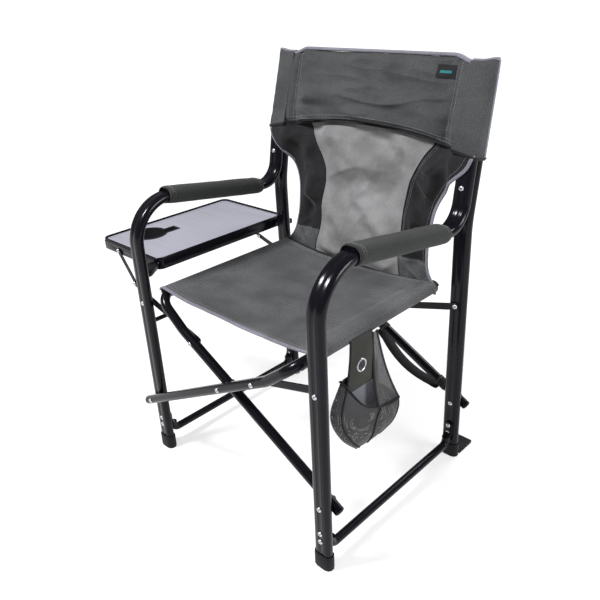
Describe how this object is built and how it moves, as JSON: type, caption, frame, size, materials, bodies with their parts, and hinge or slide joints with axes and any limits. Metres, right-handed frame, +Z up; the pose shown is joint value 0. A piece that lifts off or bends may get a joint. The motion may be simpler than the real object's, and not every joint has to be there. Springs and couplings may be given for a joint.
{
  "type": "folding camp chair",
  "caption": "Folding camp chair with a crossing tube frame, sling seat, padded headrest and armrests, a fold-down side table with a cup hole and a hanging pouch.",
  "frame": {"origin": "on the ground, under the centre of the bounding box", "axes": "+Z up, -Y towards the front of the chair, -X towards the side table"},
  "size_m": [0.8696, 0.5644, 0.9067],
  "materials": {
    "frame": "gloss",
    "steel": "satin",
    "plastic": "matte",
    "seat_fabric": "matte",
    "back_fabric": "matte",
    "pad_fabric": "matte",
    "table_metal": "satin",
    "pouch_fabric": "matte",
    "mesh": "matte",
    "webbing": "matte"
  },
  "bodies": {
    "left_frame": {"left_front_leg": "frame", "left_rear_upright": "frame", "left_side_bar": "frame", "left_front_foot": "plastic", "left_rear_foot": "plastic", "left_arm_pad": "pad_fabric", "left_arm_rivet": "steel", "left_back_sleeve": "back_fabric", "left_front_leg_pivot": "steel", "left_rear_leg_pivot": "steel", "left_front_link_leg_rivet": "steel", "left_rear_link_leg_rivet": "steel", "table_front_bracket": "frame", "table_rear_bracket": "frame", "table_front_brace_post": "frame", "table_rear_brace_post": "frame"},
    "right_frame": {"right_front_leg": "frame", "right_rear_upright": "frame", "right_side_bar": "frame", "right_front_foot": "plastic", "right_rear_foot": "plastic", "right_arm_pad": "pad_fabric", "right_arm_rivet": "steel", "right_back_sleeve": "back_fabric", "right_front_leg_pivot": "steel", "right_rear_leg_pivot": "steel", "right_front_link_leg_rivet": "steel", "right_rear_link_leg_rivet": "steel"},
    "x_tube_a": {"x_tube_a": "frame", "x_tube_a_front_plug": "plastic", "x_tube_a_rear_plug": "plastic", "centre_pivot_front": "steel", "centre_pivot_rear": "steel"},
    "x_tube_b": {"x_tube_b": "frame", "x_tube_b_front_plug": "plastic", "x_tube_b_rear_plug": "plastic", "carry_strap": "webbing"},
    "left_links": {"left_front_link": "frame", "left_rear_link": "frame", "left_front_link_tube_rivet": "steel", "left_rear_link_tube_rivet": "steel"},
    "right_links": {"right_front_link": "frame", "right_rear_link": "frame", "right_front_link_tube_rivet": "steel", "right_rear_link_tube_rivet": "steel"},
    "seat_left": {"seat_left": "seat_fabric"},
    "seat_right": {"seat_right": "seat_fabric"},
    "back_left": {"back_left": "back_fabric"},
    "back_right": {"back_right": "back_fabric"},
    "pouch": {"pouch_panel": "pouch_fabric", "pouch_bag": "mesh"},
    "table": {"table_rim": "frame", "table_top": "table_metal", "cup_ring": "table_metal", "table_front_brace_rivet": "steel", "table_rear_brace_rivet": "steel"},
    "upper_braces": {"table_front_upper_brace": "frame", "table_rear_upper_brace": "frame"},
    "lower_braces": {"table_front_lower_brace": "frame", "table_rear_lower_brace": "frame"}
  },
  "joints": [
    {"name": "fold", "type": "hinge", "parent": "left_frame", "child": "x_tube_a", "pos_m": [-0.15482, -0.02445, 0.153], "axis": [0, -1, 0], "range_deg": [0, 43.6]},
    {"name": "cross_pivot", "type": "hinge", "parent": "x_tube_a", "child": "x_tube_b", "pos_m": [0.12518, -0.02445, 0.3044], "axis": [0, -1, 0], "range_deg": [-87.2, 0]},
    {"name": "right_leg_pivot", "type": "hinge", "parent": "x_tube_b", "child": "right_frame", "pos_m": [0.40518, -0.02445, 0.153], "axis": [0, -1, 0], "range_deg": [0, 43.6]},
    {"name": "left_link_pivot", "type": "hinge", "parent": "left_frame", "child": "left_links", "pos_m": [-0.15482, -0.02445, 0.4114], "axis": [0, -1, 0], "range_deg": [0, 85.8]},
    {"name": "right_link_pivot", "type": "hinge", "parent": "right_frame", "child": "right_links", "pos_m": [0.40518, -0.02445, 0.4114], "axis": [0, -1, 0], "range_deg": [-85.8, 0]},
    {"name": "seat_left_fold", "type": "hinge", "parent": "x_tube_b", "child": "seat_left", "pos_m": [-0.09957, -0.02445, 0.44524], "axis": [0, -1, 0], "range_deg": [-36.5, 0], "deforming": ["seat_left"]},
    {"name": "seat_right_fold", "type": "hinge", "parent": "x_tube_a", "child": "seat_right", "pos_m": [0.34993, -0.02445, 0.44524], "axis": [0, -1, 0], "range_deg": [0, 36.5], "deforming": ["seat_right"]},
    {"name": "back_left_fold", "type": "hinge", "parent": "left_frame", "child": "back_left", "pos_m": [-0.13182, 0.19455, 0.6], "axis": [0, 0.1676, 0.9859], "range_deg": [0, 73], "deforming": ["back_left"]},
    {"name": "back_right_fold", "type": "hinge", "parent": "back_left", "child": "back_right", "pos_m": [0.12518, 0.19455, 0.6], "axis": [0, 0.1676, 0.9859], "range_deg": [-146, 0], "deforming": ["back_right"]},
    {"name": "pouch_hang", "type": "hinge", "parent": "x_tube_a", "child": "pouch", "pos_m": [0.34993, -0.02445, 0.44524], "axis": [0, -1, 0], "range_deg": [-43.6, 0], "deforming": ["pouch_panel", "pouch_bag"]},
    {"name": "table_hinge", "type": "hinge", "parent": "left_frame", "child": "table", "pos_m": [-0.19182, -0.02445, 0.474], "axis": [0, -1, 0], "range_deg": [0, 90]},
    {"name": "upper_brace_pivot", "type": "hinge", "parent": "table", "child": "upper_braces", "pos_m": [-0.35282, -0.02445, 0.472], "axis": [0, -1, 0], "range_deg": [-135.8, 0]},
    {"name": "lower_brace_pivot", "type": "hinge", "parent": "left_frame", "child": "lower_braces", "pos_m": [-0.15982, -0.02445, 0.355], "axis": [0, -1, 0], "range_deg": [0, 90.5]}
  ],
  "couplings": [
    {"joint": "cross_pivot", "follows": "fold", "ratio": -2},
    {"joint": "right_leg_pivot", "follows": "fold", "ratio": 1},
    {"joint": "left_link_pivot", "follows": "fold", "ratio": 1.966},
    {"joint": "right_link_pivot", "follows": "fold", "ratio": -1.966},
    {"joint": "seat_left_fold", "follows": "fold", "ratio": -0.835},
    {"joint": "seat_right_fold", "follows": "fold", "ratio": 0.835},
    {"joint": "back_left_fold", "follows": "fold", "ratio": 1.672},
    {"joint": "back_right_fold", "follows": "fold", "ratio": -3.344},
    {"joint": "pouch_hang", "follows": "fold", "ratio": -1},
    {"joint": "upper_brace_pivot", "follows": "table_hinge", "ratio": -1.507},
    {"joint": "lower_brace_pivot", "follows": "table_hinge", "ratio": 1.003}
  ]
}
